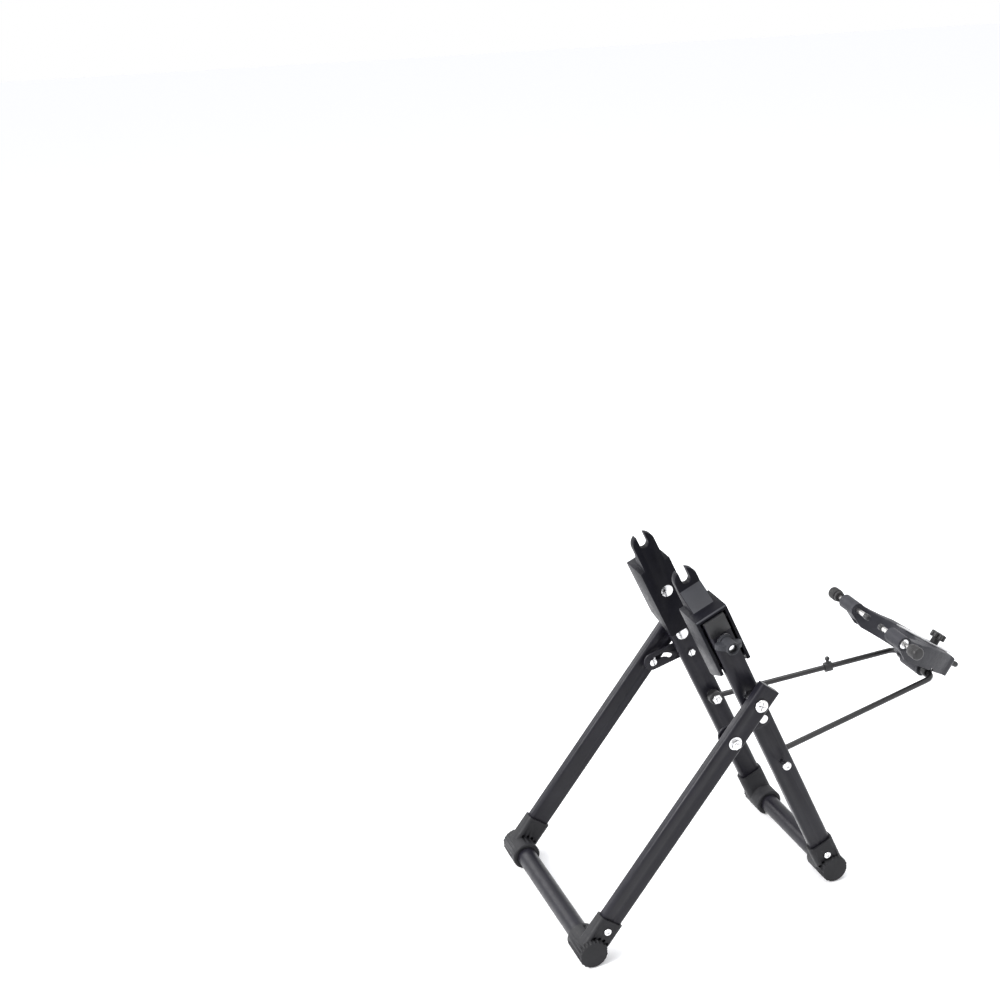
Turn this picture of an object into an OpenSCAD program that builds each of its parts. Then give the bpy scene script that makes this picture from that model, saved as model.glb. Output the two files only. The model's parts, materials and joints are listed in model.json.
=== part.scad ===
// Folding truing stand: two leaning uprights on a cross tube, a hinged front
// frame, lock links, sliding axle holders and a caliper on a swinging wire arm.
// Origin: middle of the axle seat. X towards the caliper, Y along the axle, Z up.

/* [Frame] */
// Clear distance between the two uprights
upright_gap = 163.2; // [155:0.2:175]
// Lean of the uprights from the vertical, degrees
upright_lean = 22.9; // [20:0.1:26]
// Lean of the front legs from the vertical, degrees
leg_lean = 39.4; // [36:0.1:43]
// From the axle down the upright to the top of its tube
upright_top_s = 38; // [34:0.5:44]
// From the axle down the upright to the main pivot
pivot_s = 145; // [140:0.5:155]
// From the axle down the upright to the wire arm's pivot
arm_pivot_s = 242; // [235:0.5:255]
// From the axle down the upright to the rear cross tube
rear_tube_s = 414; // [400:0.5:430]
// How far a leg reaches past the main pivot
leg_reach = 21; // [17:0.5:24]
// Width of the flat tubes, across the bolt holes
tube_w = 26; // [24:0.2:28]
// Thickness of the flat tubes, along the axle
tube_t = 12.7; // [11:0.1:15]
// Outer corner radius of the flat tubes
tube_corner = 4; // [3:0.1:5]
// Wall of all the steel tubes
tube_wall = 1.5; // [1.2:0.1:2]
// Diameter of the round cross tubes
cross_d = 22; // [20:0.1:24]

/* [Feet] */
// Diameter of a foot's fluted barrel
foot_d = 32; // [30:0.2:34]
// Length of a foot along the cross tube
foot_len = 40; // [36:0.5:46]
// How far a foot's face stands proud of its flat tube
foot_proud = 7.5; // [6.5:0.1:9]
// Height of a foot's sleeve above the cross tube's centre
sleeve_top = 39; // [36:0.5:44]
// Wall of a foot's sleeve and end face
foot_wall = 2.5; // [2:0.1:3]
// Number of flutes round a foot
foot_flutes = 18; // [14:2:22]
// Height of the screw in a front foot
front_screw_z = 28; // [26:0.5:30]
// Height of the screw in a rear foot
rear_screw_z = 22; // [21:0.5:26]

/* [Fold and lock link] */
// Gap between an upright and the leg beside it
leg_gap = 11.2; // [10.4:0.1:13]
// Diameter of the main pivot's barrel screw
pivot_d = 8; // [7:0.1:9]
// Head diameter of the main pivot screws
pivot_head_d = 15; // [14:0.1:17]
// From the main pivot down the upright to the link's pivot
link_pivot_drop = 29; // [27:0.5:31]
// From the main pivot down the leg to the link's slot bolt
slot_bolt_drop = 48.5; // [46:0.5:50]
// Width of a lock link
link_w = 21; // [20:0.1:23]
// Thickness of a lock link
link_t = 3; // [2.5:0.1:3.2]
// Diameter of the link's two bolts
link_bolt_d = 5; // [4:0.1:5.5]
// Degrees that the link turns for each degree of fold
link_ratio = 1.25; // [1.2:0.01:1.3]
// Full fold of the front frame, degrees
fold_range = 50; // [40:1:50]

/* [Wire arm] */
// Diameter of the arm's wire
wire_d = 8; // [7:0.1:9]
// Thickness of the washer between the arm's eye and the upright
arm_washer_t = 1.4; // [1:0.1:3]
// Half the spread of the arm at its front bends
arm_half_front = 42; // [40:0.5:46]
// Length of the arm from its pivots to the crossbar
arm_len = 231.3; // [220:0.5:245]
// Tilt of the arm above the horizontal, degrees
arm_tilt = 6.4; // [3:0.1:10]
// Bend radius of the wire
wire_bend_r = 12; // [10:0.5:14]
// Diameter of the arm's pivot bolts
arm_bolt_d = 5; // [4:0.1:6]

/* [Caliper] */
// Tilt of the caliper below the horizontal, degrees
caliper_tilt = 35; // [30:0.5:40]
// From the feelers back to the crossbar
crossbar_u = 85.4; // [82:0.2:89]
// From the feelers' height down to the crossbar
crossbar_v = 20.8; // [20:0.1:22]
// From the feelers to the yoke's rear end
yoke_len = 134; // [128:0.5:140]
// Height of the yoke's skirt below the feelers
yoke_depth = 17; // [15:0.2:18]
// Height of the yoke's top above the feelers
yoke_top = 9; // [8:0.1:10]
// Wall of the yoke's moulded shell
yoke_wall = 3; // [2.5:0.1:4]
// Diameter of the barrels that carry the feelers
barrel_d = 17; // [16:0.1:19]
// Length of a barrel
barrel_len = 30; // [26:0.5:32]
// Middle of a barrel, from the centre plane
barrel_y = 52; // [50:0.5:55]

/* [Feelers and gauge] */
// Half the gap between the feeler tips
feeler_gap = 12; // [8:0.5:16]
// Diameter of a feeler rod
feeler_d = 5.4; // [5:0.1:6]
// Diameter of a feeler's tip
tip_d = 7; // [6.5:0.1:8]
// Length of a feeler's tip
tip_len = 8; // [7:0.1:10]
// Diameter of a feeler's knob
feeler_knob_d = 15; // [14:0.1:17]
// Length of a feeler's knob
feeler_knob_len = 18; // [16:0.5:20]
// From the tip's face to the knob
feeler_span = 68; // [66:0.5:72]
// Thickness of the gauge plate
gauge_t = 1.5; // [1.2:0.1:2]
// Width of the gauge plate
gauge_w = 17; // [15:0.5:19]
// Front point of the gauge plate, from the feelers
gauge_front_u = 31; // [28:0.5:36]
// Diameter of the star knob's head
star_d = 20; // [18:0.2:22]
// Number of lobes on the star knob
star_lobes = 7; // [6:1:8]

/* [Axle holders] */
// Spacing of the holders' inner faces
axle_spacing = 100; // [98:0.5:104]
// Width of the axle slot
axle_slot_w = 10.4; // [9.6:0.1:12]
// Thickness of a holder's inner web
web_t = 6; // [5:0.1:7]
// Distance of a holder's outer edge from the centre plane
holder_edge_y = 92; // [90:0.2:93]
// Half the width of a holder's upper block
block_half_w = 13; // [12:0.1:14]
// Inner face of a holder's side walls, from the upright's centre line
side_in_w = 15.3; // [15:0.1:16]
// Outer face of a holder's side walls, from the upright's centre line
side_out_w = 19; // [18:0.1:20]
// From the axle down to a holder's lower end
holder_bottom_s = 122; // [116:0.5:125]
// From the axle down to the clamp screw
clamp_s = 67; // [64:0.5:72]
// Diameter of the clamp screw
clamp_d = 8; // [7:0.1:9]
// Length of a wing knob
wing_len = 20.5; // [18:0.5:24]
// Reach of a wing knob's wings
wing_reach = 14.5; // [12:0.1:15]

/* [Hidden] */
$fn = 64;

// Clearances
fit = 0.05;
face_gap = 0.1;
seat_gap = 0.3;
past = 1;

// Colours
tube_black = [0.09, 0.09, 0.10];
plastic_black = [0.13, 0.13, 0.14];
plastic_grey = [0.24, 0.24, 0.26];
zinc = [0.75, 0.75, 0.77];
steel = [0.62, 0.62, 0.64];

// Layers along the axle, from the centre plane outwards
upright_in = upright_gap / 2;
upright_mid = upright_in + tube_t / 2;
upright_out = upright_in + tube_t;
leg_in = upright_out + leg_gap;
leg_mid = leg_in + tube_t / 2;
leg_out = leg_in + tube_t;
link_in = upright_out + 2.6;
link_out = link_in + link_t;

// Places in the side view
function down_upright(s, w = 0) = [s * sin(upright_lean) + w * cos(upright_lean),
    -s * cos(upright_lean) + w * sin(upright_lean)];
pivot = down_upright(pivot_s);
arm_pivot = down_upright(arm_pivot_s);
rear_foot = down_upright(rear_tube_s);
leg_len = (rear_tube_s - pivot_s) * cos(upright_lean) / cos(leg_lean);
front_foot = pivot - leg_len * [sin(leg_lean), cos(leg_lean)];
crossbar = arm_pivot + arm_len * [cos(arm_tilt), sin(arm_tilt)];
feeler_axis = crossbar - crossbar_u * [cos(caliper_tilt), -sin(caliper_tilt)]
    + crossbar_v * [sin(caliper_tilt), cos(caliper_tilt)];

// Feet
cross_r = cross_d / 2;
foot_r = foot_d / 2;
foot_face = tube_t / 2 + foot_proud;
tube_end = cross_r + foot_wall + seat_gap;
foot_screw_d = 4;

// Lock link: its angle from the upright, and the path of the slot bolt
open_angle = upright_lean + leg_lean;
function slot_bolt(fold) = slot_bolt_drop * [cos(open_angle - fold), sin(open_angle - fold)]
    - [link_pivot_drop, 0];
link_open = atan2(slot_bolt(0).y, slot_bolt(0).x);
function slot_path(fold) = let(
        b = slot_bolt(fold),
        turn = atan2(b.y, b.x) - link_open + link_ratio * fold)
    norm(b) * [cos(turn), sin(turn)];
link_reach = norm(slot_bolt(0));
link_end_r = link_w / 2;
link_bolt_r = link_bolt_d / 2;
slot_steps = 16;

// Caliper
wire_r = wire_d / 2;
barrel_r = barrel_d / 2;
barrel_in = barrel_y - barrel_len / 2;
barrel_out = barrel_y + barrel_len / 2;
feeler_r = feeler_d / 2;
bush_r = 6;
bush_t = 4;
star_u = 95.3;
stud_d = 5;
slot_half = stud_d / 2 + 0.4;
gauge_v = yoke_top + face_gap;
yoke_tail_r = 15;

// Axle holders
clamp_r = clamp_d / 2;
web_in = axle_spacing / 2;
web_out = web_in + web_t;
shelf_s = 31;
slope_s = 9;
slope_y = 75;
lip_y = 59;
washer_t = 0.9;
knob_in = upright_out + washer_t + face_gap;
clamp_head_r = 7;

// ---------- helpers ----------

module side(right) {
    mirror([0, right ? 0 : 1, 0]) children();
}

module both() {
    for (right = [false, true]) side(right) children();
}

// A cylinder along +Y
module rod(r, from, to) {
    translate([0, from, 0]) rotate([-90, 0, 0]) cylinder(r = r, h = to - from);
}

module ring(r, bore, from, to) {
    difference() {
        rod(r, from, to);
        rod(bore, from - past, to + past);
    }
}

// Hexagon across its flats, along +Y
module hexagon(flats, from, to) {
    translate([0, from, 0]) rotate([-90, 0, 0])
        cylinder(r = flats / 2 / cos(30), h = to - from, $fn = 6);
}

// A pan head whose flat side is at from and whose crown is at to
module pan_head(r, from, to) {
    h = abs(to - from);
    translate([0, from, 0]) rotate([to > from ? -90 : 90, 0, 0])
        rotate_extrude() polygon(concat([[0, 0], [r, 0], [r, h * 0.45]],
            [for (a = [20 : 20 : 80]) [r * 0.72 + r * 0.28 * cos(a), h * 0.45 + h * 0.55 * sin(a)]],
            [[0, h]]));
}

module flat_oval(w, t, r) {
    square([w - 2 * r, t], center = true);
    square([w, t - 2 * r], center = true);
    for (x = [-1, 1], y = [-1, 1])
        translate([x * (w / 2 - r), y * (t / 2 - r)]) circle(r);
}

module flat_tube(from, to) {
    translate([0, 0, from]) linear_extrude(to - from) difference() {
        flat_oval(tube_w, tube_t, tube_corner);
        flat_oval(tube_w - 2 * tube_wall, tube_t - 2 * tube_wall, tube_corner - tube_wall);
    }
}

module at_side_point(p) {
    translate([p.x, 0, p.y]) children();
}

// Local frame of the uprights: X across, Z up the tube, at a distance from the axle
module on_upright(s = 0) {
    at_side_point(down_upright(s)) rotate([0, -upright_lean, 0]) children();
}

// Local frame of the legs: Z up the leg, at a distance below the main pivot
module on_leg(drop = 0) {
    at_side_point(pivot) rotate([0, leg_lean, 0]) translate([0, 0, -drop]) children();
}

module on_arm() {
    at_side_point(arm_pivot) rotate([0, -arm_tilt, 0]) children();
}

module on_caliper() {
    at_side_point(feeler_axis) rotate([0, caliper_tilt, 0]) children();
}

function bend(a, b, c, steps = 10) = [for (i = [0 : steps]) let(t = i / steps)
    (1 - t) * (1 - t) * a + 2 * t * (1 - t) * b + t * t * c];

// ---------- uprights ----------

module upright(right) {
    color(tube_black) side(right) on_upright() difference() {
        translate([0, upright_mid, 0]) flat_tube(-rear_tube_s + tube_end, -upright_top_s);
        translate([0, 0, -clamp_s]) rod(clamp_r + fit, upright_in - past, upright_out + past);
        translate([0, 0, -pivot_s])
            rod(pivot_d / 2 + fit, upright_in - past, upright_out + past);
        translate([0, 0, -pivot_s - link_pivot_drop])
            rod(link_bolt_r + fit, upright_in - past, upright_out + past);
        translate([0, 0, -arm_pivot_s])
            rod(arm_bolt_d / 2 + fit, upright_in - past, upright_out + past);
        translate([0, 0, -rear_tube_s + rear_screw_z])
            rod(foot_screw_d / 2 + fit, upright_mid, upright_out + past);
    }
}

// Plug in the tube's top with a skirt over its outer face
module upright_cap() {
    skirt_t = 1.4;
    skirt_s = 18;
    lid_t = 1.6;
    plug_len = 8;
    on_upright(upright_top_s) {
        translate([0, upright_mid, -plug_len]) linear_extrude(plug_len + past)
            flat_oval(tube_w - 2 * tube_wall - 2 * face_gap, tube_t - 2 * tube_wall - 2 * face_gap,
                tube_corner - tube_wall);
        translate([0, upright_mid, face_gap]) linear_extrude(lid_t)
            flat_oval(tube_w, tube_t, tube_corner);
        difference() {
            translate([-tube_w / 2 + past, upright_out + face_gap, -skirt_s])
                cube([tube_w - 2 * past, skirt_t, skirt_s + lid_t + face_gap]);
            translate([0, 0, -clamp_s + upright_top_s])
                rod(tube_w / 2 - 2, upright_out - past, upright_out + past + skirt_t);
        }
        translate([-tube_w / 2 + tube_corner, upright_out - past, face_gap])
            cube([tube_w - 2 * tube_corner, past + face_gap + skirt_t, lid_t]);
    }
}

module upright_caps() {
    color(plastic_black) both() upright_cap();
}

// ---------- feet and cross tubes ----------

module cross_tube(half) {
    color(tube_black) difference() {
        rod(cross_r, -half, half);
        rod(cross_r - tube_wall, -half - past, half + past);
    }
}

// A foot: fluted barrel on the cross tube and a sleeve up the flat tube
module foot(lean, mid, flute_len, screw_z) {
    face = mid + foot_face;
    inner = face - foot_len;
    flute_r = 2.1;
    edge = 1.2;
    collar_cut = 11;
    difference() {
        union() {
            translate([0, inner, 0]) rotate([-90, 0, 0]) rotate_extrude() polygon([[0, 0],
                [foot_r - edge, 0], [foot_r, edge], [foot_r, foot_len - edge],
                [foot_r - edge, foot_len], [0, foot_len]]);
            rotate([0, lean, 0]) translate([0, mid, 0]) linear_extrude(sleeve_top)
                flat_oval(tube_w + 2 * foot_wall, tube_t + 2 * foot_wall, tube_corner + foot_wall);
        }
        rotate([0, lean, 0]) translate([0, mid, tube_end - seat_gap]) linear_extrude(sleeve_top)
            flat_oval(tube_w + 2 * fit, tube_t + 2 * fit, tube_corner + fit);
        rotate([0, lean, 0]) translate([0, 0, screw_z])
            rod(foot_screw_d / 2 + fit, mid, mid + tube_t);
        rod(cross_r + fit, inner - past, face - foot_wall);
        translate([-cross_r / 2, inner - past, -foot_d]) cube([cross_r, collar_cut + past, foot_d]);
        for (i = [0 : foot_flutes - 1]) let(a = (i + 0.5) * 360 / foot_flutes + 90)
            if (abs(a - 90 - lean * sign(flute_len) - (a > 270 ? 360 : 0)) > 48)
                rotate([0, -a, 0]) translate([foot_r + flute_r * 0.45, 0, 0])
                    rod(flute_r, face - abs(flute_len), face + past);
    }
}

module foot_screw(lean, mid, screw_z) {
    seat = mid + tube_t / 2 + foot_wall + face_gap;
    rotate([0, lean, 0]) translate([0, 0, screw_z]) {
        pan_head(4.2, seat, seat + 2.4);
        rod(foot_screw_d / 2, seat - 7.5, seat + 0.5);
    }
}

module rear_cross_tube() {
    at_side_point(rear_foot) cross_tube(upright_mid + foot_face - foot_wall - seat_gap);
}

module front_cross_tube() {
    at_side_point(front_foot) cross_tube(leg_mid + foot_face - foot_wall - seat_gap);
}

module rear_foot(right) {
    color(plastic_black) side(right) at_side_point(rear_foot)
        foot(-upright_lean, upright_mid, 14, rear_screw_z);
}

module front_foot(right) {
    color(plastic_black) side(right) at_side_point(front_foot)
        foot(leg_lean, leg_mid, foot_len - 6, front_screw_z);
}

module rear_foot_screws() {
    color(zinc) both() at_side_point(rear_foot)
        foot_screw(-upright_lean, upright_mid, rear_screw_z);
}

module front_foot_screws() {
    color(zinc) both() at_side_point(front_foot)
        foot_screw(leg_lean, leg_mid, front_screw_z);
}

// ---------- front frame ----------

module leg(right) {
    color(tube_black) side(right) difference() {
        on_leg() translate([0, leg_mid, 0]) flat_tube(-leg_len + tube_end, leg_reach);
        on_leg() rod(pivot_d / 2 + fit, leg_in - past, leg_out + past);
        on_leg(slot_bolt_drop) rod(link_bolt_r + fit, leg_in - past, leg_out + past);
        on_leg(leg_len - front_screw_z) rod(foot_screw_d / 2 + fit, leg_mid, leg_out + past);
    }
}

module leg_end_plugs() {
    plug_len = 7;
    color(plastic_black) both() on_leg() translate([0, leg_mid, leg_reach - plug_len])
        linear_extrude(plug_len) flat_oval(tube_w - 2 * tube_wall - 2 * face_gap,
            tube_t - 2 * tube_wall - 2 * face_gap, tube_corner - tube_wall);
}

// ---------- main pivot ----------

module main_pivot_screws() {
    head_h = 3.6;
    color(zinc) both() at_side_point(pivot) {
        rod(pivot_d / 2, upright_in - 0.5, leg_out + 0.5);
        pan_head(pivot_head_d / 2, upright_in - face_gap, upright_in - head_h);
        pan_head(pivot_head_d / 2, leg_out + face_gap, leg_out + head_h);
    }
}

module pivot_spacers() {
    color(zinc) both() at_side_point(pivot)
        ring(pivot_head_d / 2, pivot_d / 2 + fit, upright_out + face_gap, leg_in - face_gap);
}

// ---------- lock links ----------

module on_link() {
    at_side_point(down_upright(pivot_s + link_pivot_drop))
        rotate([0, 90 - upright_lean, 0]) rotate([0, link_open, 0]) children();
}

// Bolt through the upright that carries a link, with a collar under the link
module link_pivot_bolts() {
    nut_t = 3.4;
    color(zinc) both() on_link() {
        rod(link_bolt_r, upright_in - nut_t, link_out + 0.5);
        rod(5, link_out + face_gap, link_out + 3);
        ring(5, link_bolt_r - fit, upright_out + face_gap, link_in - face_gap);
        difference() {
            hexagon(8, upright_in - nut_t, upright_in - face_gap);
            rod(link_bolt_r - fit, upright_in - nut_t - past, upright_in);
        }
    }
}

// The slot follows the bolt's path, so it bends slightly to both sides
module lock_link(right) {
    slot_r = link_bolt_r + 0.3;
    path = [for (i = [0 : slot_steps]) slot_path(fold_range * i / slot_steps)];
    function across(i) = let(
            a = path[max(i - 1, 0)],
            b = path[min(i + 1, slot_steps)])
        [a.y - b.y, b.x - a.x] / norm(b - a) * slot_r;
    color(tube_black) side(right) on_link() translate([0, link_in, 0])
        rotate([-90, 0, 0]) linear_extrude(link_t) difference() {
            union() {
                circle(link_end_r);
                translate([link_reach, 0]) circle(link_end_r);
                translate([0, -link_end_r]) square([link_reach, link_w]);
            }
            circle(link_bolt_r + fit);
            polygon(concat([for (i = [0 : slot_steps]) path[i] + across(i)],
                [for (i = [slot_steps : -1 : 0]) path[i] - across(i)]));
            translate(path[0]) circle(slot_r);
            translate(path[slot_steps]) circle(slot_r);
        }
}

module slot_bolts() {
    color(zinc) both() on_leg(slot_bolt_drop) {
        rod(link_bolt_r, link_in - 0.5, leg_out + 8);
        rod(4.4, upright_out + 0.5, link_in - face_gap);
    }
}

module slot_spacers() {
    color(zinc) both() on_leg(slot_bolt_drop)
        ring(5.5, link_bolt_r + fit, link_out + face_gap, leg_in - face_gap);
}

module slot_washers() {
    color(zinc) both() on_leg(slot_bolt_drop)
        ring(7.5, link_bolt_r + fit, leg_out + face_gap, leg_out + 1.1);
}

module slot_nuts() {
    color(zinc) both() on_leg(slot_bolt_drop) difference() {
        hexagon(10, leg_out + 1.2, leg_out + 5.6);
        rod(link_bolt_r + fit, leg_out, leg_out + 6);
    }
}

// ---------- wire arm ----------

eye_r = 8;
eye_boss = 1.2;
eye_out = upright_in - arm_washer_t - 2 * face_gap;
arm_half_back = eye_out - wire_r;
eye_in = arm_half_back - wire_r - eye_boss;
arm_nut_t = 5.3;
arm_toe = atan2(arm_half_back - arm_half_front, arm_len);
bend_turn = 90 - arm_toe;
bend_back = wire_bend_r * tan(bend_turn / 2);
// The bends are a hair thicker than the straight runs, which end inside them
bend_swell = 0.02;
bend_lap = 0.5;

module wire_arm() {
    leg_run = norm([arm_len, arm_half_back - arm_half_front]) - bend_back + bend_lap;
    bar_half = arm_half_front - bend_back + bend_lap;
    eye_start = eye_r / 2;
    color(tube_black) on_arm() difference() {
        union() {
            translate([arm_len, 0, 0]) rod(wire_r, -bar_half, bar_half);
            both() {
                rod(eye_r, eye_in, eye_out);
                translate([0, arm_half_back, 0]) rotate([0, 0, -arm_toe])
                    translate([eye_start, 0, 0]) rotate([0, 90, 0])
                        cylinder(r = wire_r, h = leg_run - eye_start);
                translate([arm_len - wire_bend_r, arm_half_front - bend_back, 0])
                    rotate_extrude(angle = bend_turn) translate([wire_bend_r, 0])
                        circle(wire_r + bend_swell);
            }
        }
        both() rod(arm_bolt_d / 2 + fit, eye_in - past, eye_out + past);
    }
}

module arm_pivot_bolts() {
    proud = 12;
    color(zinc) both() at_side_point(arm_pivot) {
        rod(arm_bolt_d / 2, eye_in - face_gap - arm_nut_t - 0.6, upright_out + proud);
        pan_head(4.8, upright_out + proud - 0.5, upright_out + proud + 3);
    }
}

module arm_pivot_washers() {
    color(zinc) both() at_side_point(arm_pivot)
        ring(6.5, arm_bolt_d / 2 + fit, eye_out + face_gap, upright_in - face_gap);
}

module arm_pivot_nuts() {
    color(zinc) both() at_side_point(arm_pivot) difference() {
        hexagon(10, eye_in - face_gap - arm_nut_t, eye_in - face_gap);
        rod(arm_bolt_d / 2 + fit, eye_in - face_gap - arm_nut_t - past, eye_in);
    }
}

// Plastic sleeves that keep the caliper centred on the crossbar
module arm_sleeves() {
    color(plastic_black) both() at_side_point(crossbar)
        ring(6.2, wire_r + fit, lug_half + face_gap, lug_half + 11);
}

// Snap-on clip with a ball nub, on the far side of the arm
module arm_clip() {
    clip_x = 139;
    clip_len = 9;
    color(plastic_black) on_arm() translate([clip_x, arm_half_back - clip_x * tan(arm_toe), 0])
        rotate([0, 0, -arm_toe]) {
            rotate([0, 90, 0]) difference() {
                cylinder(r = wire_r + 2, h = clip_len);
                translate([0, 0, -past]) cylinder(r = wire_r + fit, h = clip_len + 2 * past);
            }
            translate([clip_len / 2, 0, wire_r + 1]) cylinder(r = 2, h = 5);
            translate([clip_len / 2, 0, wire_r + 7]) sphere(3);
        }
}

// ---------- caliper ----------

lug_half = 19;
lug_r = 9;

// Edges of the yoke in plan, moved inwards by d
function yoke_outer(d) = bend([-2, barrel_y + 10 - d], [62, barrel_y - 2 - d],
    [yoke_len - yoke_tail_r, yoke_tail_r - d]);
function yoke_tail(d) = [for (a = [75 : -15 : -75])
    [yoke_len - yoke_tail_r, 0] + (yoke_tail_r - d) * [cos(a), sin(a)]];
function yoke_inner(d) = bend([55 + d, 0], [54 + d, barrel_y - 20 + d], [6, barrel_y - 8 + d]);
function backwards(points) = [for (i = [len(points) - 1 : -1 : 0]) points[i]];
function mirrored(points) = [for (p = backwards(points)) [p.x, -p.y]];
function yoke_outline(d) = concat(yoke_outer(d), yoke_tail(d), mirrored(yoke_outer(d)),
    [[-2, -barrel_y + 10 - d]], mirrored(yoke_inner(d)), yoke_inner(d), [[-2, barrel_y - 10 + d]]);

module yoke_side_profile() {
    polygon(concat([[-2, -6], [20, -yoke_depth], [yoke_len, -yoke_depth], [yoke_len, 2]],
        bend([yoke_len, 2], [yoke_len - 8, yoke_top], [yoke_len - 24, yoke_top]),
        [[58, yoke_top]], bend([50, yoke_top - 1], [30, 5], [-2, 7])));
}

// Hollow under the shell
module yoke_pocket_profile() {
    polygon([[barrel_r + yoke_wall, -yoke_depth - past], [barrel_r + yoke_wall, 5 - yoke_wall],
        [58, yoke_top - yoke_wall], [yoke_len - 24, yoke_top - yoke_wall],
        [yoke_len, -1], [yoke_len, -yoke_depth - past]]);
}

module extrude_plan(d) {
    translate([0, 0, -yoke_depth - 2 * past]) linear_extrude(yoke_depth + yoke_top + 4 * past)
        polygon(yoke_outline(d));
}

module extrude_profile() {
    width = 2 * barrel_y + 40;
    translate([0, width / 2, 0]) rotate([90, 0, 0]) linear_extrude(width) children();
}

module yoke() {
    boss_r = 6;
    notch_r = 7;
    color(plastic_grey) on_caliper() difference() {
        union() {
            difference() {
                intersection() {
                    extrude_plan(0);
                    extrude_profile() yoke_side_profile();
                }
                intersection() {
                    extrude_plan(yoke_wall);
                    extrude_profile() yoke_pocket_profile();
                }
            }
            both() rod(barrel_r, barrel_in, barrel_out);
            translate([crossbar_u, 0, -crossbar_v]) rod(lug_r, -lug_half, lug_half);
            translate([crossbar_u - lug_r, -lug_half, -crossbar_v])
                cube([2 * lug_r, 2 * lug_half, crossbar_v + yoke_top - past]);
            translate([star_u, 0, -boss_r]) cylinder(r = boss_r, h = yoke_top + boss_r - past);
            translate([yoke_len - 16, 0, 0]) rotate([0, 90, 0]) cylinder(r = boss_r - 1, h = 14);
        }
        both() {
            rod(feeler_r + fit, barrel_in - past, barrel_out + past);
            rod(bush_r + fit, barrel_out - bush_t, barrel_out + past);
            translate([crossbar_u, 0, -crossbar_v]) rod(notch_r, lug_half, barrel_out);
        }
        translate([crossbar_u, 0, -crossbar_v]) rod(wire_r + fit, -lug_half - past, lug_half + past);
        translate([star_u, 0, 0]) cylinder(r = stud_d / 2 + fit, h = yoke_top + past);
        translate([yoke_len - 12, 0, 0]) rotate([0, 90, 0]) cylinder(r = 2 + fit, h = 14);
    }
}

module barrel_bushes() {
    color(zinc) both() on_caliper()
        ring(bush_r, feeler_r + fit, barrel_out - bush_t + face_gap, barrel_out - 0.6);
}

// Screw with a rounded cap behind the yoke
module tail_screw() {
    cap_r = 3.5;
    color(plastic_black) on_caliper() translate([yoke_len, 0, 0]) rotate([0, 90, 0]) {
        translate([0, 0, -11.7]) cylinder(r = 2, h = 13);
        translate([0, 0, face_gap]) cylinder(r = cap_r, h = 9);
        translate([0, 0, 9 + face_gap]) sphere(cap_r);
    }
}

// ---------- feelers ----------

module feeler_rod(right) {
    color(steel) side(right) on_caliper()
        rod(feeler_r, feeler_gap + 3, feeler_gap + feeler_span + 10);
}

module feeler_tip(right) {
    color(plastic_black) side(right) on_caliper() difference() {
        translate([0, feeler_gap, 0]) rotate([-90, 0, 0]) rotate_extrude()
            polygon([[0, 0], [tip_d / 2 - 1, 0], [tip_d / 2, 1.4], [tip_d / 2, tip_len], [0, tip_len]]);
        rod(feeler_r + fit, feeler_gap + 3 - fit, feeler_gap + tip_len + past);
    }
}

module feeler_knob(right) {
    base = feeler_gap + feeler_span;
    r = feeler_knob_d / 2;
    neck_len = 4;
    dome = 4;
    ribs = 30;
    rib_r = 0.5;
    color(plastic_black) side(right) on_caliper() difference() {
        union() {
            rod(r - 1.2, base, base + neck_len + past);
            translate([0, base + neck_len, 0]) rotate([-90, 0, 0])
                linear_extrude(feeler_knob_len - neck_len - dome) difference() {
                    circle(r);
                    for (i = [0 : ribs - 1]) rotate(i * 360 / ribs) translate([r, 0]) circle(rib_r, $fn = 16);
                }
            translate([0, base + feeler_knob_len - dome, 0]) rotate([-90, 0, 0])
                rotate_extrude() polygon(concat([[0, 0]],
                    [for (a = [0 : 15 : 90]) [r - dome + dome * cos(a), dome * sin(a)]],
                    [[0, dome]]));
        }
        rod(feeler_r + fit, base - past, base + 10 + fit);
    }
}

// ---------- gauge ----------

module gauge_plate() {
    tail = yoke_len - 6;
    color(steel) on_caliper() translate([0, 0, gauge_v]) linear_extrude(gauge_t) difference() {
        polygon([[gauge_front_u, 0], [gauge_front_u + 22, gauge_w / 2], [star_u, gauge_w / 2],
            [tail, gauge_w / 3], [tail, -gauge_w / 3], [star_u, -gauge_w / 2],
            [gauge_front_u + 22, -gauge_w / 2]]);
        translate([star_u - 16, -slot_half]) square([28, 2 * slot_half]);
        for (u = [star_u - 16, star_u + 12]) translate([u, 0]) circle(slot_half);
    }
}

module star_knob() {
    stem_v = gauge_v + gauge_t + face_gap;
    stem_len = 6.5;
    head_t = 7.5;
    lobe_r = 2.6;
    color(plastic_black) on_caliper() translate([star_u, 0, 0]) {
        translate([0, 0, 1.5]) cylinder(r = stud_d / 2, h = stem_v);
        translate([0, 0, stem_v]) cylinder(r = 5.4, h = stem_len + past);
        translate([0, 0, stem_v + stem_len]) linear_extrude(head_t) {
            circle(star_d / 2 - lobe_r);
            for (i = [0 : star_lobes - 1]) rotate(i * 360 / star_lobes)
                translate([star_d / 2 - lobe_r, 0]) circle(lobe_r);
        }
    }
}

// ---------- axle holders ----------

// Half section along the axle, drawn over distance from the centre plane and height
module holder_section() {
    polygon([[web_in, block_half_w], [lip_y - 1, block_half_w], [lip_y, block_half_w - 2],
        [lip_y, -slope_s], [slope_y, -shelf_s], [holder_edge_y - 2, -shelf_s],
        [holder_edge_y, -shelf_s - 2], [holder_edge_y, -upright_top_s + 2.6],
        [web_out, -upright_top_s + 2.6],
        [web_out, -holder_bottom_s], [web_in, -holder_bottom_s]]);
}

module extrude_across(half) {
    translate([half, 0, 0]) rotate([90, 0, -90]) mirror([1, 0, 0]) linear_extrude(2 * half) children();
}

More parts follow.
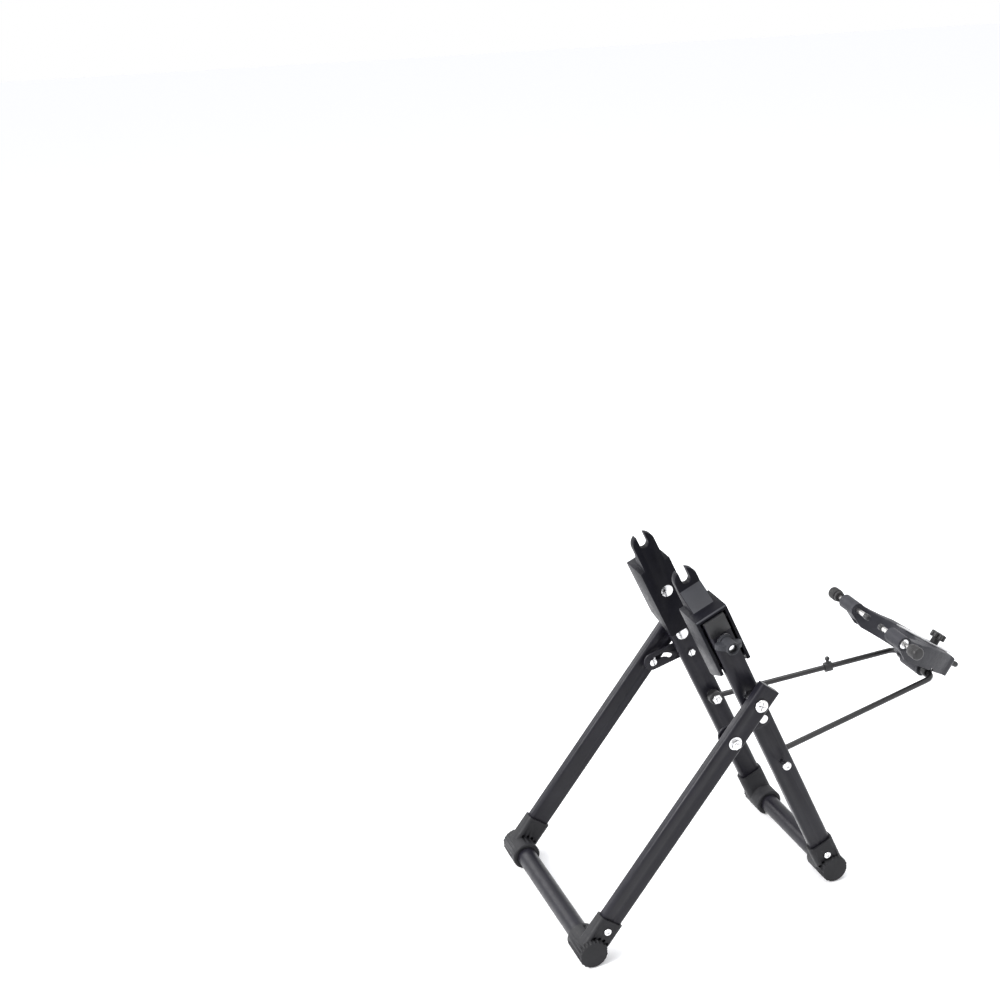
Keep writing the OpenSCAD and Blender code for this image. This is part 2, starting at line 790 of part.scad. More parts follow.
module axle_holder(right) {
    guide_w = tube_w / 2 + 0.2;
    side_t = side_out_w - side_in_w;
    tail_s = holder_bottom_s - 18;
    color(plastic_grey) side(right) on_upright() difference() {
        union() {
            intersection() {
                extrude_across(side_out_w) holder_section();
                union() {
                    rod(block_half_w, web_in, lip_y);
                    translate([-block_half_w, web_in, -shelf_s - past])
                        cube([2 * block_half_w, holder_edge_y, shelf_s + past]);
                    translate([-side_out_w, web_in, -holder_bottom_s])
                        cube([2 * side_out_w, holder_edge_y, holder_bottom_s - shelf_s]);
                }
            }
            for (w = [-side_out_w, side_in_w]) translate([w + side_t, 0, 0])
                rotate([90, 0, -90]) mirror([1, 0, 0]) linear_extrude(side_t)
                    polygon([[web_in, -shelf_s - 2], [holder_edge_y, -shelf_s - 2],
                        [holder_edge_y, -tail_s], [web_out, -holder_bottom_s], [web_in, -holder_bottom_s]]);
            for (w = [-side_in_w - past, guide_w], s = [44, 98]) translate([w, web_out - past, -s])
                cube([side_in_w + past - guide_w, holder_edge_y - web_out, 3]);
            translate([0, 0, -clamp_s]) rod(10, web_in, web_out + 6);
        }
        translate([0, 0, 0]) rod(axle_slot_w / 2, web_in - past, lip_y + past);
        translate([-axle_slot_w / 2, web_in - past, 0]) cube([axle_slot_w, lip_y, 2 * block_half_w]);
        translate([0, 0, -clamp_s]) {
            rod(clamp_r + fit, web_in - past, web_out + 7);
            rod(clamp_head_r + fit, web_in - past, web_in + 4.5);
        }
    }
}

module clamp_screw(right) {
    color(zinc) side(right) on_upright(clamp_s) {
        rod(clamp_r, web_in + 1, knob_in + wing_len - 4);
        rod(clamp_head_r, web_in + 0.4, web_in + 4.4);
    }
}

module knob_washers() {
    color(zinc) both() on_upright(clamp_s)
        ring(9, clamp_r + fit, upright_out + face_gap, upright_out + washer_t);
}

module wing_knob(right) {
    hub_r = 7;
    base_r = 9;
    wing_t = 6;
    socket_r = 4.9;
    wing = concat([[0, 3]], bend([hub_r, 3], [wing_reach + 3, 4], [wing_reach, 10]),
        bend([wing_reach, 10], [wing_reach - 1, 14], [hub_r - 1, wing_len - 4]), [[0, wing_len - 4]]);
    color(plastic_grey) side(right) on_upright(clamp_s) rotate([0, 25, 0]) translate([0, knob_in, 0])
        difference() {
            union() {
                rod(base_r, 0, 4);
                rod(hub_r, 0, wing_len);
                for (turn = [0, 180]) rotate([0, turn, 0])
                    translate([0, 0, -wing_t / 2]) linear_extrude(wing_t) polygon(wing);
            }
            rod(clamp_r + fit, -past, wing_len + past);
            rod(socket_r, 8, wing_len + past);
        }
}

upright(false);  // upright_left
upright(true);  // upright_right
upright_caps();
rear_cross_tube();
rear_foot(false);  // rear_foot_left
rear_foot(true);  // rear_foot_right
rear_foot_screws();
main_pivot_screws();
pivot_spacers();
link_pivot_bolts();
knob_washers();
arm_pivot_bolts();
arm_pivot_washers();
arm_pivot_nuts();
leg(false);  // leg_left
leg(true);  // leg_right
leg_end_plugs();
front_cross_tube();
front_foot(false);  // front_foot_left
front_foot(true);  // front_foot_right
front_foot_screws();
slot_bolts();
slot_spacers();
slot_washers();
slot_nuts();
lock_link(false);  // lock_link_left
lock_link(true);  // lock_link_right
wire_arm();
arm_sleeves();
arm_clip();
yoke();
barrel_bushes();
tail_screw();
feeler_rod(false);  // feeler_rod_left
feeler_tip(false);  // feeler_tip_left
feeler_knob(false);  // feeler_knob_left
feeler_rod(true);  // feeler_rod_right
feeler_tip(true);  // feeler_tip_right
feeler_knob(true);  // feeler_knob_right
gauge_plate();
star_knob();
axle_holder(false);  // axle_holder_left
axle_holder(true);  // axle_holder_right
clamp_screw(false);  // clamp_screw_left
clamp_screw(true);  // clamp_screw_right
wing_knob(false);  // wing_knob_left
wing_knob(true);  // wing_knob_right
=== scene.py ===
import bmesh
import bpy
import json
import math
from mathutils import Matrix, Vector

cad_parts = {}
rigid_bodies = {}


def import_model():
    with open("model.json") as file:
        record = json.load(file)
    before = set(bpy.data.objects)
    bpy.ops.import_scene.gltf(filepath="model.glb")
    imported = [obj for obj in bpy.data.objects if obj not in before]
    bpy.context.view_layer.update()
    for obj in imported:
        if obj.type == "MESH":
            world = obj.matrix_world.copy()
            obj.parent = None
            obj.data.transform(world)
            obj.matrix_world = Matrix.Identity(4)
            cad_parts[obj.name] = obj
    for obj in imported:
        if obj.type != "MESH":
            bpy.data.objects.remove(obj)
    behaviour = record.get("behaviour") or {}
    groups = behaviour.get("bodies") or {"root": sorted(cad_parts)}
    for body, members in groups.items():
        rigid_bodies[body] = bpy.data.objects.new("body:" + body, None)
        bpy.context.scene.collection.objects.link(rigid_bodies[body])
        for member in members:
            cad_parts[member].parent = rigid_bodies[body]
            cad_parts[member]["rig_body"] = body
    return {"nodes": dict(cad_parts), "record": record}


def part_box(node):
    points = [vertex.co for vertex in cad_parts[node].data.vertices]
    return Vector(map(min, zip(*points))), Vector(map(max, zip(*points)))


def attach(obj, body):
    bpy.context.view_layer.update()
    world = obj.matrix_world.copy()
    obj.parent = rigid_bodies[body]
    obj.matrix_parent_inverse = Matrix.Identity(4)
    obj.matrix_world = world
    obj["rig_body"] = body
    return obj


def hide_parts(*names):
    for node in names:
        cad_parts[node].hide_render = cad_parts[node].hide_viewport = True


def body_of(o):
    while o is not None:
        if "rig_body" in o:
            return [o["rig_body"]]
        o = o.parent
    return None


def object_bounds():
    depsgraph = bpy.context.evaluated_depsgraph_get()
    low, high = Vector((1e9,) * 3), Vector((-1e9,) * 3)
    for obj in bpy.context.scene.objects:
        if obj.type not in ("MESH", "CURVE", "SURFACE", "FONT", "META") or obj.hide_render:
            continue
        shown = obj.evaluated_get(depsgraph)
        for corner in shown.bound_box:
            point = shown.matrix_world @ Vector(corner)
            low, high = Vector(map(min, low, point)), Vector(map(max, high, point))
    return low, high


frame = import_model()
cad_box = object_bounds()
nodes = frame["nodes"]

# Lengths are in mm wherever MM follows them, and the rest are in metres
MM = 0.001
CALIPER_TURN = math.radians(35)
UPRIGHT_LEAN = math.radians(22.9)


# ---------- shader nodes ----------

def add(owner, kind, **inputs):
    """A shader node of this kind in a material or world, with these input values."""
    node = owner.node_tree.nodes.new(kind)
    for key, value in inputs.items():
        node.inputs[key.replace("_", " ")].default_value = value
    return node


def join(owner, source, target):
    owner.node_tree.links.new(source, target)


def maths(owner, operation, *values):
    """The output of a maths node, from sockets and plain numbers."""
    node = add(owner, "ShaderNodeMath")
    node.operation = operation
    for socket, value in zip(node.inputs, values):
        if isinstance(value, float):
            socket.default_value = value
        else:
            join(owner, value, socket)
    return node.outputs[0]


def mixed(owner, share, first, second):
    """The first shader where the share is 0 and the second where it is 1."""
    node = add(owner, "ShaderNodeMixShader")
    for socket, source in zip(node.inputs, (share, first, second)):
        join(owner, source, socket)
    return node.outputs[0]


# ---------- materials ----------

def principled(name, colour, roughness, metallic=0.0):
    """A new material with its shader's plain values set."""
    mat = bpy.data.materials.new(name)
    mat.use_nodes = True
    shader = mat.node_tree.nodes["Principled BSDF"]
    shader.inputs["Base Color"].default_value = colour
    shader.inputs["Roughness"].default_value = roughness
    shader.inputs["Metallic"].default_value = metallic
    return mat, shader


def place(mat, stretch=(1, 1, 1), turn=(0, 0, 0)):
    """Object coordinates in metres, stretched for grain."""
    coords = add(mat, "ShaderNodeTexCoord")
    mapping = add(mat, "ShaderNodeMapping", Scale=stretch, Rotation=turn)
    join(mat, coords.outputs["Object"], mapping.inputs["Vector"])
    return mapping.outputs["Vector"]


def noise(mat, where, scale, detail=2.0, roughness=0.5):
    tex = add(mat, "ShaderNodeTexNoise", Scale=scale, Detail=detail, Roughness=roughness)
    join(mat, where, tex.inputs["Vector"])
    return tex.outputs["Fac"]


def as_colour(value):
    """A colour as it is, or a number as a grey."""
    return value if isinstance(value, tuple) else (value, value, value, 1.0)


def ramp(mat, value, low, high, start=0.3, end=0.7):
    """Maps a value between start and end to colours or greys from low to high."""
    node = add(mat, "ShaderNodeValToRGB")
    for stop, at, shown in zip(node.color_ramp.elements, (start, end), (low, high)):
        stop.position = at
        stop.color = as_colour(shown)
    join(mat, value, node.inputs["Fac"])
    return node.outputs["Color"]


def bump(mat, shader, height, strength, distance):
    """Adds a bump over the ones that the shader already has."""
    node = add(mat, "ShaderNodeBump", Strength=strength, Distance=distance)
    join(mat, height, node.inputs["Height"])
    if shader.inputs["Normal"].links:
        join(mat, shader.inputs["Normal"].links[0].from_socket, node.inputs["Normal"])
    join(mat, node.outputs["Normal"], shader.inputs["Normal"])


def scaled(colour, factor):
    return tuple(min(1.0, c * factor) for c in colour[:3]) + (1.0,)


def powder_coat(name, colour, roughness):
    """Baked powder paint: orange peel, faint handling marks."""
    mat, shader = principled(name, colour, roughness)
    where = place(mat)
    join(mat, ramp(mat, noise(mat, where, 35, 4), scaled(colour, 0.8), scaled(colour, 1.25)),
         shader.inputs["Base Color"])
    join(mat, ramp(mat, noise(mat, where, 90, 5), roughness - 0.06, roughness + 0.08),
         shader.inputs["Roughness"])
    bump(mat, shader, noise(mat, where, 650, 2), 0.22, 0.25 * MM)
    bump(mat, shader, noise(mat, where, 2600, 2), 0.10, 0.08 * MM)
    return mat


def moulded(name, colour, roughness, grain, depth):
    """Moulded plastic with a spark-eroded grain."""
    mat, shader = principled(name, colour, roughness)
    where = place(mat)
    join(mat, ramp(mat, noise(mat, where, 60, 3), scaled(colour, 0.85), scaled(colour, 1.2)),
         shader.inputs["Base Color"])
    join(mat, ramp(mat, noise(mat, where, 240, 3), roughness - 0.05, roughness + 0.07),
         shader.inputs["Roughness"])
    bump(mat, shader, noise(mat, where, grain, 3, 0.65), depth, 0.2 * MM)
    return mat


def plated(name, colour, roughness):
    """Bright zinc: slightly cloudy, fine pitting."""
    mat, shader = principled(name, colour, roughness, 1.0)
    where = place(mat)
    join(mat, ramp(mat, noise(mat, where, 320, 4), scaled(colour, 0.88), scaled(colour, 1.05)),
         shader.inputs["Base Color"])
    join(mat, ramp(mat, noise(mat, where, 500, 4), roughness - 0.05, roughness + 0.10),
         shader.inputs["Roughness"])
    bump(mat, shader, noise(mat, where, 1800, 3), 0.06, 0.05 * MM)
    return mat


def brushed(name, colour, roughness, stretch, turn=(0, 0, 0)):
    """Steel with fine lines along one direction."""
    mat, shader = principled(name, colour, roughness, 1.0)
    lines = noise(mat, place(mat, stretch, turn), 1500, 3)
    join(mat, ramp(mat, lines, scaled(colour, 0.75), scaled(colour, 1.1)),
         shader.inputs["Base Color"])
    join(mat, ramp(mat, noise(mat, place(mat), 150, 3), roughness - 0.05, roughness + 0.1),
         shader.inputs["Roughness"])
    bump(mat, shader, lines, 0.10, 0.05 * MM)
    return mat


BLACK = (0.0110, 0.0105, 0.0150, 1.0)
MATERIALS = {
    "tube_black": powder_coat("tube_black", BLACK, 0.36),
    "link_black": powder_coat("link_black", BLACK, 0.38),
    "wire_black": powder_coat("wire_black", (0.011, 0.011, 0.012, 1.0), 0.30),
    "zinc": plated("zinc", (0.80, 0.80, 0.81, 1.0), 0.15),
    "rod_steel": brushed("rod_steel", (0.60, 0.59, 0.58, 1.0), 0.27, (1, 0.04, 1)),
    "gauge_steel": brushed("gauge_steel", (0.66, 0.66, 0.67, 1.0), 0.30, (0.05, 1, 1),
                           (0, CALIPER_TURN, 0)),
    "plastic_black": moulded("plastic_black", (0.014, 0.014, 0.015, 1.0), 0.42, 1500, 0.12),
    "plastic_foot": moulded("plastic_foot", (0.017, 0.017, 0.019, 1.0), 0.50, 1700, 0.25),
    "knob_plastic": moulded("knob_plastic", (0.017, 0.016, 0.017, 1.0), 0.38, 1500, 0.10),
    "yoke_plastic": moulded("yoke_plastic", (0.030, 0.030, 0.036, 1.0), 0.50, 1600, 0.40),
    "holder_plastic": moulded("holder_plastic", (0.005, 0.005, 0.008, 1.0), 0.40, 1500, 0.20),
    "wing_plastic": moulded("wing_plastic", (0.030, 0.031, 0.036, 1.0), 0.44, 1500, 0.20),
}
# The white surroundings would make these finishes paler than their colour
SPECULAR = {"holder_plastic": 0.10, "yoke_plastic": 0.24, "wing_plastic": 0.24,
            "tube_black": 0.25, "link_black": 0.25, "plastic_foot": 0.24}
for slot, level in SPECULAR.items():
    shader = MATERIALS[slot].node_tree.nodes["Principled BSDF"]
    shader.inputs["Specular IOR Level"].default_value = level
# Paler than the holder's own plastic: painted light on the slope that faces up to the lamps,
# with a coarser grain
holder_grain_painted_light = moulded("holder_grain_painted_light", (0.026, 0.027, 0.033, 1.0), 0.55, 900, 0.7)
slot_of = {row["node"]: row["material_slot"] for row in frame["record"]["subparts"]}


def dress(obj, slot):
    obj.data.materials.clear()
    obj.data.materials.append(MATERIALS[slot])


for node_name, node in nodes.items():
    dress(node, slot_of[node_name])


# ---------- dressed copies of the CAD nodes ----------

WELD = 0.002
FLAT_DEG = 0.6
SHARP_DEG = 34
# Their smallest faces would hold every bevel back to nothing
UNCLAMPED = ("upright_left", "upright_right", "leg_left", "leg_right", "axle_holder_left",
             "axle_holder_right", "upright_caps", "wing_knob_left", "wing_knob_right",
             "star_knob")


def new_object(name, data):
    obj = bpy.data.objects.new(name, data)
    bpy.context.scene.collection.objects.link(obj)
    return obj


def evaluated_mesh(obj):
    """A new mesh of an object with its modifiers or its curve worked out."""
    graph = bpy.context.evaluated_depsgraph_get()
    return bpy.data.meshes.new_from_object(obj.evaluated_get(graph))


def to_mesh(bm, name):
    mesh = bpy.data.meshes.new(name)
    bm.to_mesh(mesh)
    bm.free()
    return mesh


def shade(mesh, angle=32):
    """Smooth faces, with edges sharper than the angle kept crisp."""
    mesh.polygons.foreach_set("use_smooth", [True] * len(mesh.polygons))
    mesh.set_sharp_from_angle(angle=math.radians(angle))


def plain_faces(name):
    """The node's mesh with its triangles merged into plain faces."""
    bm = bmesh.new()
    bm.from_mesh(nodes[name].data)
    bmesh.ops.remove_doubles(bm, verts=bm.verts, dist=WELD * MM)
    bmesh.ops.dissolve_limit(bm, angle_limit=math.radians(FLAT_DEG), verts=bm.verts,
                             edges=bm.edges)
    return bm


def sharp_edges(bm):
    return [e for e in bm.edges
            if len(e.link_faces) == 2 and e.calc_face_angle() > math.radians(SHARP_DEG)]


def round_edges(bm, edges, width, segments, clamp):
    bmesh.ops.bevel(bm, geom=edges, offset=width * MM, offset_type="OFFSET", segments=segments,
                    profile=0.5, affect="EDGES", clamp_overlap=clamp)


def rounded(name, width, segments=2):
    """The node's mesh with its sharp edges rounded."""
    bm = plain_faces(name)
    round_edges(bm, sharp_edges(bm), width, segments, name not in UNCLAMPED)
    return to_mesh(bm, name + "_form")


def stand_in(name, mesh):
    """Puts a mesh in a node's place, on its body and with its finish."""
    piece = new_object(name + "_form", mesh)
    dress(piece, slot_of[name])
    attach(piece, body_of(nodes[name])[0])
    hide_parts(name)
    return piece


def carve(mesh, cutter_mesh):
    """A mesh with a cutter taken away."""
    body = new_object("carved", mesh)
    cutter = new_object("cutter", cutter_mesh)
    cut = body.modifiers.new("cut", "BOOLEAN")
    cut.operation = "DIFFERENCE"
    cut.solver = "EXACT"
    cut.use_self = True
    cut.object = cutter
    result = evaluated_mesh(body)
    for helper in (body, cutter):
        bpy.data.objects.remove(helper)
    return result


def block(bm, size, at, turn):
    """Adds a box with its middle at a place, turned about it."""
    where = Matrix.Translation(at) @ turn @ Matrix.Diagonal((*size, 1.0))
    bmesh.ops.create_cube(bm, size=1.0, matrix=where)


def peg(bm, radius, top_radius, depth, at, sides, axis):
    """Adds a round or many-sided peg along an axis."""
    turn = Vector(axis).to_track_quat("Z", "Y").to_matrix().to_4x4()
    bmesh.ops.create_cone(bm, cap_ends=True, segments=sides, radius1=radius, radius2=top_radius,
                          depth=depth, matrix=Matrix.Translation(at) @ turn)


def middle_of(name):
    low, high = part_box(name)
    return (low + high) / 2, low, high


# ---------- screw recesses ----------

# Kind, radius and depth
RECESSES = {
    "main_pivot_screws": ("cross", 4.6, 1.6),
    "arm_pivot_bolts": ("socket", 2.4, 1.6),
    "rear_foot_screws": ("socket", 2.0, 1.2),
    "front_foot_screws": ("socket", 2.0, 1.2),
}
SCREW_EDGE = 0.25
# In degrees
CROSS_TURNS = (20, 110)
# Shares of the recess's radius, and of its depth for the reach
CROSS_SLOT = 0.36
CROSS_ROOT = 0.42
CROSS_TIP = 0.2
CROSS_REACH = 3.2


def recess_cutter(name, kind, radius, depth):
    """Cross or socket recesses at both outer ends of a node that lies along Y."""
    middle, low, high = middle_of(name)
    bm = bmesh.new()
    for y, out in ((low.y, -1), (high.y, 1)):
        at = Vector((middle.x, y, middle.z))
        if kind == "cross":
            for turn in CROSS_TURNS:
                block(bm, (2.0 * radius * MM, 2 * depth * MM, CROSS_SLOT * radius * MM), at,
                      Matrix.Rotation(math.radians(turn), 4, "Y"))
            peg(bm, CROSS_ROOT * radius * MM, CROSS_TIP * radius * MM,
                CROSS_REACH * depth * MM, at, 16, (0, -out, 0))
        else:
            peg(bm, radius * MM, radius * MM, 2 * depth * MM, at, 6, (0, out, 0))
    return to_mesh(bm, name + "_recess")


for name, (kind, radius, depth) in RECESSES.items():
    mesh = carve(rounded(name, SCREW_EDGE), recess_cutter(name, kind, radius, depth))
    shade(mesh)
    stand_in(name, mesh)


# ---------- feet ----------

FOOT_R = 16.0
FOOT_EDGE = 0.35
FOOT_SHADE_DEG = 38
FLUTES = 22
FLUTE_R = 1.25
FLUTE_LEN = 7.0
FLUTE_INSET = 2.4


def foot_cutter(name):
    """Fine grip flutes round the foot's outer end."""
    low, high = middle_of(name)[1:]
    outer_y, out = (low.y, -1) if abs(low.y) > abs(high.y) else (high.y, 1)
    tube = "front_cross_tube" if name.startswith("front") else "rear_cross_tube"
    centre = middle_of(tube)[0]
    bm = bmesh.new()
    for i in range(FLUTES):
        turn = 2 * math.pi * (i + 0.5) / FLUTES
        at = Vector((centre.x + FOOT_R * MM * math.cos(turn), outer_y - out * FLUTE_INSET * MM,
                     centre.z + FOOT_R * MM * math.sin(turn)))
        peg(bm, FLUTE_R * MM, FLUTE_R * MM, FLUTE_LEN * MM, at, 12, (0, out, 0))
    return to_mesh(bm, name + "_flutes")


for name in ("rear_foot_left", "rear_foot_right", "front_foot_left", "front_foot_right"):
    mesh = carve(rounded(name, FOOT_EDGE), foot_cutter(name))
    shade(mesh, FOOT_SHADE_DEG)
    stand_in(name, mesh)


# ---------- wire arm ----------

ARM_PIVOT = (94.168, -222.927)
ARM_TILT = 6.4
ARM_LEN = 231.3
ARM_FRONT = 42.0
ARM_BACK = 76.0
ARM_BEND = 12.0
ARM_SHADE_DEG = 40
WIRE_R = 3.4
WIRE_WELD = 0.001
BEND_STEPS = 10
EYE_R = 8.0
EYE_BORE = 2.55
EYE_IN = 70.8
EYE_OUT = 80.0
EYE_LAP = 1.5
EYE_SIDES = 48
EYE_CORNER = 0.8
# In radians
CORNER_TURNS = (0, 0.52, 1.05, 1.57)


def arc(centre, start, axis, total):
    """Points round a centre, from a start point, by a total angle."""
    return [centre + Matrix.Rotation(total * i / BEND_STEPS, 3, axis) @ (start - centre)
            for i in range(BEND_STEPS + 1)]


def wire_path():
    """The wire's centre line, in a frame at the arm's pivot."""
    toe = math.atan2(ARM_BACK - ARM_FRONT, ARM_LEN)
    turn = math.pi / 2 - toe
    back = ARM_BEND * math.tan(turn / 2)
    half = [Vector((EYE_R - EYE_LAP, ARM_BACK - (EYE_R - EYE_LAP) * math.tan(toe), 0))]
    centre = Vector((ARM_LEN - ARM_BEND, ARM_FRONT - back, 0))
    end = Vector((ARM_LEN, ARM_FRONT - back, 0))
    half += arc(centre, end, "Z", turn)[::-1]
    return half + [Vector((p.x, -p.y, 0)) for p in reversed(half)]


def lathe_ring(bm, centre, out):
    """A ring with rounded outer corners round the Y axis at one eye."""
    profile = [(EYE_BORE, EYE_IN), (EYE_BORE, EYE_OUT)]
    profile += [(EYE_R - EYE_CORNER + EYE_CORNER * math.sin(a),
                 EYE_OUT - EYE_CORNER + EYE_CORNER * math.cos(a)) for a in CORNER_TURNS]
    profile += [(EYE_R - EYE_CORNER + EYE_CORNER * math.cos(a),
                 EYE_IN + EYE_CORNER - EYE_CORNER * math.sin(a)) for a in CORNER_TURNS]
    rings = []
    for i in range(EYE_SIDES):
        turn = 2 * math.pi * i / EYE_SIDES
        points = [Vector((r * math.cos(turn), out * y, r * math.sin(turn))) for r, y in profile]
        rings.append([bm.verts.new(centre + point * MM) for point in points])
    for i in range(EYE_SIDES):
        a, b = rings[i], rings[(i + 1) % EYE_SIDES]
        for j in range(len(profile)):
            k = (j + 1) % len(profile)
            bm.faces.new((a[j], a[k], b[k], b[j]) if out > 0 else (b[j], b[k], a[k], a[j]))


def build_wire():
    """One bent wire with a ring at each end, on the CAD arm's own centre line."""
    tilt = Matrix.Rotation(-math.radians(ARM_TILT), 3, "Y")
    pivot = Vector((ARM_PIVOT[0], 0, ARM_PIVOT[1])) * MM
    path = wire_path()
    curve = bpy.data.curves.new("wire_path", "CURVE")
    curve.dimensions = "3D"
    curve.bevel_depth = WIRE_R * MM
    curve.bevel_resolution = 6
    curve.use_fill_caps = True
    spline = curve.splines.new("POLY")
    spline.points.add(len(path) - 1)
    for point, at in zip(spline.points, path):
        point.co = (*(pivot + tilt @ (at * MM)), 1)
    temp = new_object("wire_path", curve)
    mesh = evaluated_mesh(temp)
    bpy.data.objects.remove(temp)
    bm = bmesh.new()
    bm.from_mesh(mesh)
    for out in (-1, 1):
        lathe_ring(bm, pivot, out)
    bmesh.ops.remove_doubles(bm, verts=bm.verts, dist=WIRE_WELD * MM)
    bmesh.ops.recalc_face_normals(bm, faces=bm.faces)
    result = to_mesh(bm, "wire_arm_form")
    shade(result, ARM_SHADE_DEG)
    stand_in("wire_arm", result)


build_wire()


# ---------- everything else gets its moulded or broken edges ----------

# The width of each node's rounded edges
EDGES = {
    "upright_left": 0.25, "upright_right": 0.25, "leg_left": 0.25, "leg_right": 0.25,
    "upright_caps": 0.35, "leg_end_plugs": 0.5, "yoke": 2.6, "arm_sleeves": 0.4,
    "axle_holder_left": 0.5, "axle_holder_right": 0.5, "wing_knob_left": 0.4,
    "wing_knob_right": 0.4, "star_knob": 0.5, "lock_link_left": 0.35, "lock_link_right": 0.35,
    "gauge_plate": 0.25, "slot_nuts": 0.3, "arm_pivot_nuts": 0.3, "slot_washers": 0.2,
    "arm_pivot_washers": 0.2, "knob_washers": 0.2, "slot_bolts": 0.4, "barrel_bushes": 0.4,
    "link_pivot_bolts": 0.3, "slot_spacers": 0.2, "pivot_spacers": 0.2,
    "clamp_screw_left": 0.3, "clamp_screw_right": 0.3, "feeler_knob_left": 0.3,
    "feeler_knob_right": 0.3, "feeler_tip_left": 0.3, "feeler_tip_right": 0.3,
    "arm_clip": 0.3,
}
WIDE_EDGE = 0.5
# An upper edge of the yoke joins a wall to the top. As cosines against the yoke's own up,
# the wall's normal has less than the first value and the top's more than the second.
WALL_TILT = 0.15
TOP_TILT = 0.85
TOP_EDGE_LEAST = 1.5
TOP_EDGE_STEPS = 5
# The slope with the coarse grain and painted light, as cosines, and its least area in square mm
SLOPE_TILT = (0.3, 0.95)
SLOPE_OUT = 0.3
SLOPE_LEAST = 20


def rounded_yoke(width):
    """The yoke with only its long upper edges rolled over."""
    bm = plain_faces("yoke")
    above = Vector((math.sin(CALIPER_TURN), 0, math.cos(CALIPER_TURN)))
    upper = []
    for edge in sharp_edges(bm):
        wall = min(abs(f.normal.dot(above)) for f in edge.link_faces)
        top = max(f.normal.dot(above) for f in edge.link_faces)
        if wall < WALL_TILT and top > TOP_TILT and edge.calc_length() > TOP_EDGE_LEAST * MM:
            upper.append(edge)
    round_edges(bm, upper, width, TOP_EDGE_STEPS, False)
    return to_mesh(bm, "yoke_form")


def paint_slope_grain_and_light(piece):
    """The holder's sloping shoulder gets a coarser grain, and a paler colour that is painted
    light from above.
    """
    piece.data.materials.append(holder_grain_painted_light)
    up_tube = Vector((-math.sin(UPRIGHT_LEAN), 0, math.cos(UPRIGHT_LEAN)))
    for face in piece.data.polygons:
        tilt = face.normal.dot(up_tube)
        if (SLOPE_TILT[0] < tilt < SLOPE_TILT[1] and abs(face.normal.y) > SLOPE_OUT
                and face.area > SLOPE_LEAST * MM * MM):
            # These slope faces take the paler material, a painted highlight with a coarser
            # grain
            face.material_index = 1


for name, width in EDGES.items():
    if name == "yoke":
        mesh = rounded_yoke(width)
    else:
        mesh = rounded(name, width, 3 if width > WIDE_EDGE else 2)
    shade(mesh)
    piece = stand_in(name, mesh)
    if name.startswith("axle_holder"):
        paint_slope_grain_and_light(piece)


# ---------- stage, light and camera ----------

FLOOR_HALF = 9.0
FLOOR_GAP = 0.0002
AIM = (0.1, 0, -0.2)
# Place, size and power
LAMPS = {
    "key": ((-1.9, -0.3, 1.1), (0.9, 1.3), 62),
    "back": ((-1.1, 2.2, 0.95), (1.8, 1.2), 22),
    "top": ((0.3, 0.3, 2.2), (1.6, 1.6), 24),
    "fill": ((1.2, -2.0, 0.9), (1.2, 1.2), 8),
}
CAMERA_AT = (-0.63216, -1.451365, 0.671203)
CAMERA_TURNS = (25.736, 24.416, -0.698)
CAMERA_CENTRE_PX = (720.474, 599.181)
FOCAL_PX = 1609.683
IMAGE_PX = 1000.0


def seen_or_mirrored(owner):
    """1 where a ray comes from the camera, a mirror or a lens, else 0."""
    path = add(owner, "ShaderNodeLightPath")
    either = maths(owner, "MAXIMUM", path.outputs["Is Camera Ray"],
                   path.outputs["Is Glossy Ray"])
    return maths(owner, "MAXIMUM", either, path.outputs["Is Transmission Ray"])


def build_world():
    """White for the camera and in mirrors. The light that it casts is brighter from above
    and behind than from the front, as under a white sweep."""
    world = bpy.data.worlds.new("studio")
    world.use_nodes = True
    bpy.context.scene.world = world
    coords = add(world, "ShaderNodeTexCoord")
    split = add(world, "ShaderNodeSeparateXYZ")
    join(world, coords.outputs["Generated"], split.inputs[0])
    height = maths(world, "MULTIPLY_ADD", split.outputs["Z"], 0.8, split.outputs["Y"])
    spread = add(world, "ShaderNodeMapRange", From_Min=-0.75, From_Max=0.65, To_Min=0.14,
                 To_Max=1.05)
    spread.interpolation_type = "SMOOTHSTEP"
    join(world, height, spread.inputs["Value"])
    room = world.node_tree.nodes["Background"]
    room.inputs["Color"].default_value = (0.95, 0.96, 1.0, 1.0)
    join(world, spread.outputs["Result"], room.inputs["Strength"])
    white = add(world, "ShaderNodeBackground", Color=(1, 1, 1, 1), Strength=1.0)
    shown = mixed(world, seen_or_mirrored(world), room.outputs[0], white.outputs[0])
    join(world, shown, world.node_tree.nodes["World Output"].inputs["Surface"])


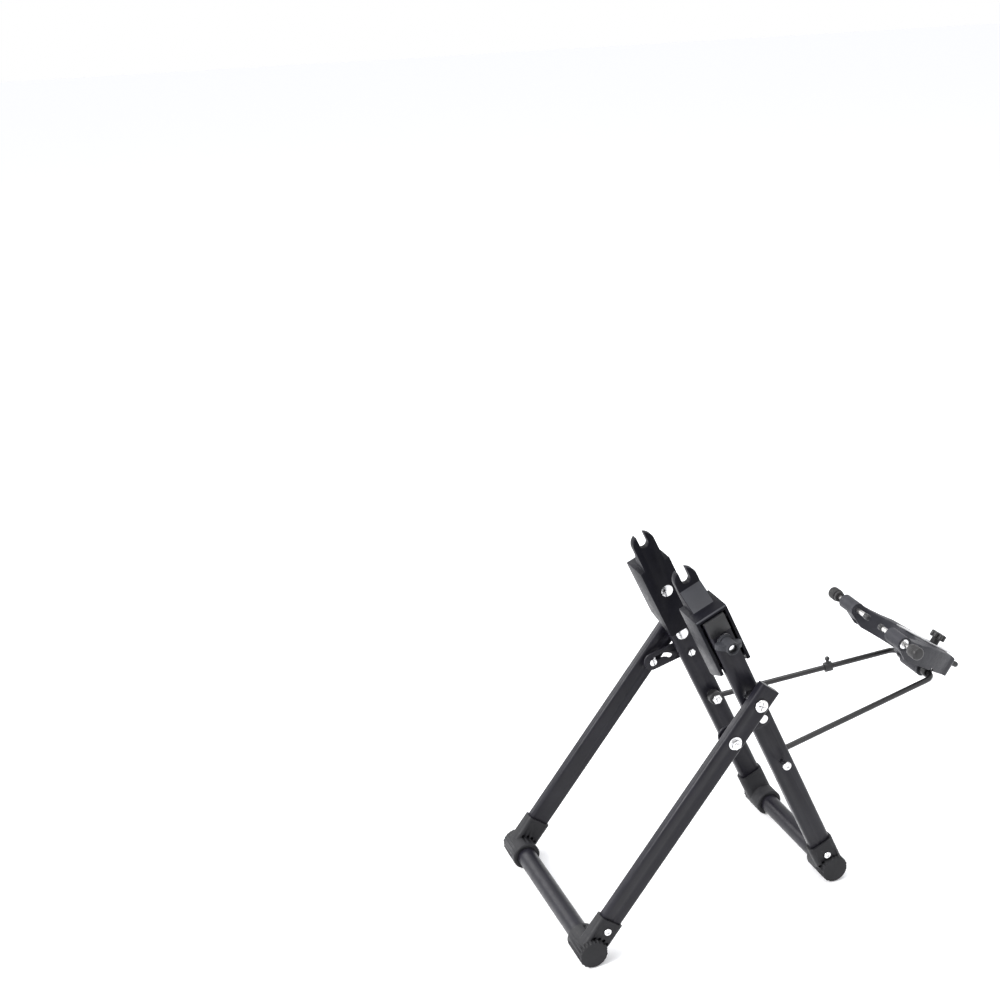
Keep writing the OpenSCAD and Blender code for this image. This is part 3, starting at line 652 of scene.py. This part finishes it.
def build_floor():
    """A pale floor that keeps the stand's soft shadow."""
    z = cad_box[0][2] - FLOOR_GAP
    corners = [(-FLOOR_HALF, -FLOOR_HALF, z), (FLOOR_HALF, -FLOOR_HALF, z),
               (FLOOR_HALF, FLOOR_HALF, z), (-FLOOR_HALF, FLOOR_HALF, z)]
    mesh = bpy.data.meshes.new("floor")
    mesh.from_pydata(corners, [], [(0, 1, 2, 3)])
    floor = new_object("floor", mesh)
    mat, shader = principled("floor_white", (0.45, 0.45, 0.46, 1.0), 0.9)
    shader.inputs["Specular IOR Level"].default_value = 0.0
    pale = add(mat, "ShaderNodeBsdfDiffuse", Color=(0.9, 0.9, 0.9, 1.0))
    glow = add(mat, "ShaderNodeEmission", Strength=0.22)
    both = add(mat, "ShaderNodeAddShader")
    join(mat, pale.outputs[0], both.inputs[0])
    join(mat, glow.outputs[0], both.inputs[1])
    shown = mixed(mat, seen_or_mirrored(mat), shader.outputs[0], both.outputs[0])
    join(mat, shown, mat.node_tree.nodes["Material Output"].inputs["Surface"])
    mesh.materials.append(mat)


def area_light(name, place_at, size, power):
    data = bpy.data.lights.new(name, "AREA")
    data.shape = "RECTANGLE"
    data.size, data.size_y = size
    data.energy = power
    lamp = new_object(name, data)
    lamp.location = place_at
    towards = Vector(AIM) - Vector(place_at)
    lamp.rotation_euler = towards.to_track_quat("-Z", "Y").to_euler()
    lamp.visible_camera = False


def build_camera():
    """The camera as it was solved for the photograph."""
    azimuth, elevation, roll = (math.radians(a) for a in CAMERA_TURNS)
    ahead = Vector((math.sin(azimuth) * math.cos(elevation),
                    math.cos(azimuth) * math.cos(elevation), -math.sin(elevation)))
    right = Vector((math.cos(azimuth), -math.sin(azimuth), 0))
    up = right.cross(ahead)
    right, up = (math.cos(roll) * right + math.sin(roll) * up,
                 math.cos(roll) * up - math.sin(roll) * right)
    data = bpy.data.cameras.new("camera")
    data.sensor_width = 36.0
    data.lens = FOCAL_PX / IMAGE_PX * data.sensor_width
    data.shift_x = 0.5 - CAMERA_CENTRE_PX[0] / IMAGE_PX
    data.shift_y = CAMERA_CENTRE_PX[1] / IMAGE_PX - 0.5
    camera = new_object("camera", data)
    facing = Matrix((right, up, -ahead)).transposed().to_4x4()
    camera.matrix_world = Matrix.Translation(CAMERA_AT) @ facing
    bpy.context.scene.camera = camera


bpy.context.scene.view_settings.view_transform = "Standard"
build_world()
build_floor()
for lamp_name, (place_at, size, power) in LAMPS.items():
    area_light(lamp_name, place_at, size, power)
build_camera()
